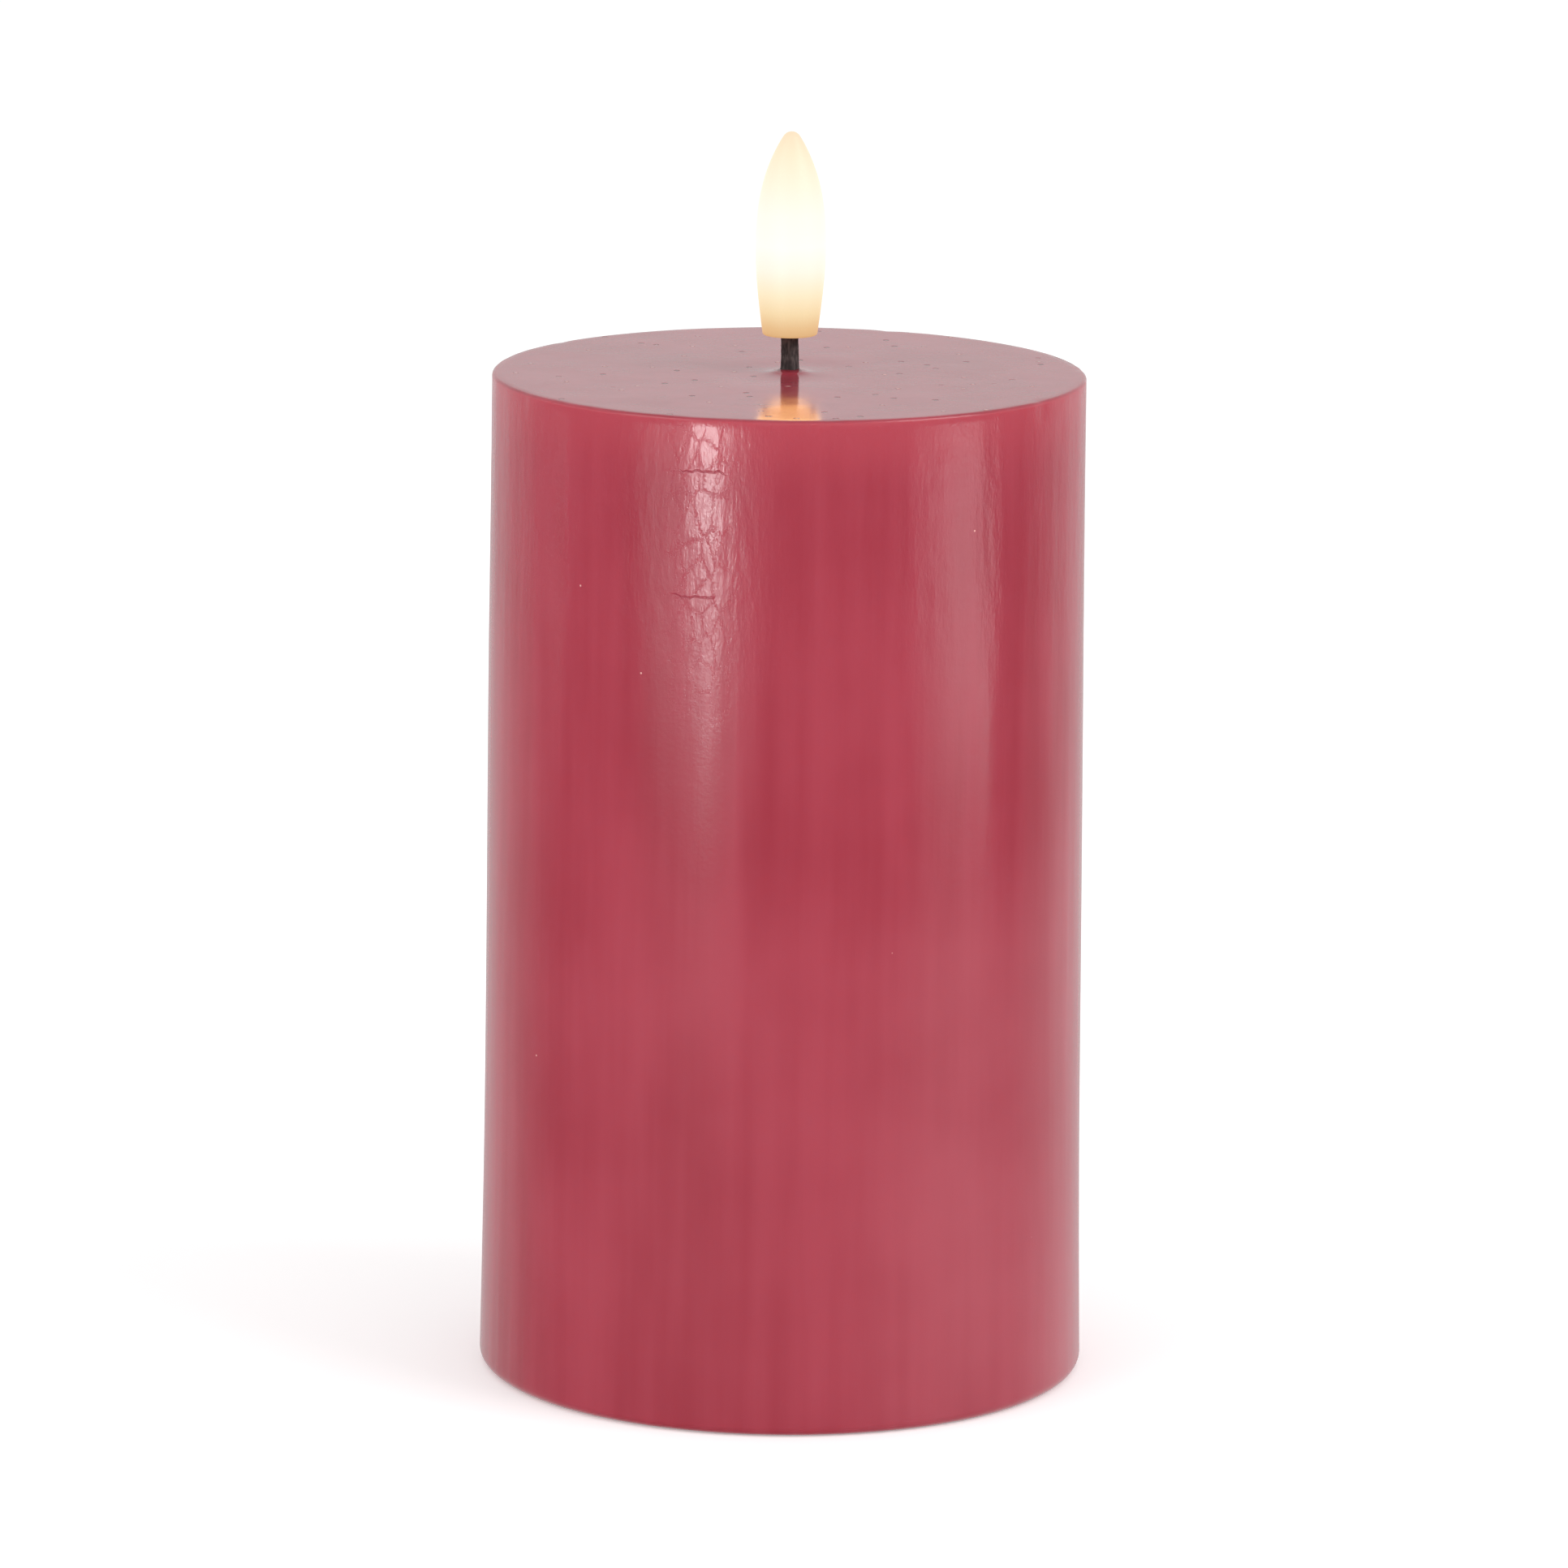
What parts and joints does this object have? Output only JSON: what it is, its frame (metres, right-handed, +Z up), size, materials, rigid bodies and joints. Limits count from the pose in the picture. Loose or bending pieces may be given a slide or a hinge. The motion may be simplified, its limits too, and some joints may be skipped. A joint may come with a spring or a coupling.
{
  "type": "flameless candle",
  "caption": "Battery-lit pillar candle in cast wax with a glowing flame-shaped diffuser on a black wick and a hinged battery door underneath.",
  "frame": {"origin": "centre of the foot, on the table", "axes": "+Z up along the candle's axis, -Y towards the front, where the switch is"},
  "size_m": [0.0752, 0.0752, 0.1548],
  "materials": {
    "wax": "satin",
    "shell_plastic": "satin",
    "base_plastic": "matte",
    "cell_jacket": "satin",
    "nickel_steel": "satin",
    "switch_steel": "satin",
    "screw_steel": "satin",
    "black_plastic": "satin",
    "board_green": "satin",
    "capacitor_sleeve": "gloss",
    "resistor_body": "satin",
    "wick_black": "matte",
    "flame_frosted": "matte",
    "lamp_resin": "gloss",
    "wire_red": "satin",
    "wire_black": "satin"
  },
  "bodies": {
    "candle": {"wax_body": "wax", "inner_shell": "shell_plastic", "base_housing": "base_plastic", "bridge_contact": "nickel_steel", "positive_contact": "nickel_steel", "negative_contact": "nickel_steel", "bridge_spring": "nickel_steel", "negative_spring": "nickel_steel", "switch_case": "switch_steel", "switch_pins": "nickel_steel", "circuit_board": "board_green", "timer_chip": "black_plastic", "crystal": "nickel_steel", "capacitor": "capacitor_sleeve", "resistors": "resistor_body", "base_screws": "screw_steel", "board_screws": "screw_steel", "wick_tube": "wick_black", "wick_bushing": "shell_plastic", "wick_retainer": "screw_steel", "flame_diffuser": "flame_frosted", "flame_collar": "shell_plastic", "led_lamp": "lamp_resin", "led_leads": "nickel_steel", "lamp_wire_red": "wire_red", "lamp_wire_black": "wire_black", "battery_wire_red": "wire_red", "battery_wire_black": "wire_black"},
    "door": {"battery_door": "base_plastic"},
    "latch": {"door_latch": "base_plastic"},
    "switch_knob": {"switch_knob": "black_plastic"},
    "cell_front": {"battery_front": "cell_jacket"},
    "cell_rear": {"battery_rear": "cell_jacket"}
  },
  "joints": [
    {"name": "door_hinge", "type": "hinge", "parent": "candle", "child": "door", "pos_m": [0, -0.0166, 0.0021], "axis": [-1, 0, 0], "range_deg": [0, 95]},
    {"name": "latch_flex", "type": "hinge", "parent": "door", "child": "latch", "pos_m": [0, 0.01665, 0.007], "axis": [-1, 0, 0], "range_deg": [0, 8], "stiffness_Nm_per_rad": 0.02, "springref_deg": -2.86},
    {"name": "switch_slide", "type": "slide", "parent": "candle", "child": "switch_knob", "axis": [1, 0, 0], "range_m": [0, 0.004]},
    {"name": "cell_front_press", "type": "slide", "parent": "candle", "child": "cell_front", "axis": [1, 0, 0], "range_m": [0, 0.0024], "stiffness_N_per_m": 700, "springref_m": -0.0015, "deforming": ["bridge_spring"]},
    {"name": "cell_rear_press", "type": "slide", "parent": "candle", "child": "cell_rear", "axis": [-1, 0, 0], "range_m": [0, 0.0024], "stiffness_N_per_m": 700, "springref_m": -0.0015, "deforming": ["negative_spring"]}
  ]
}
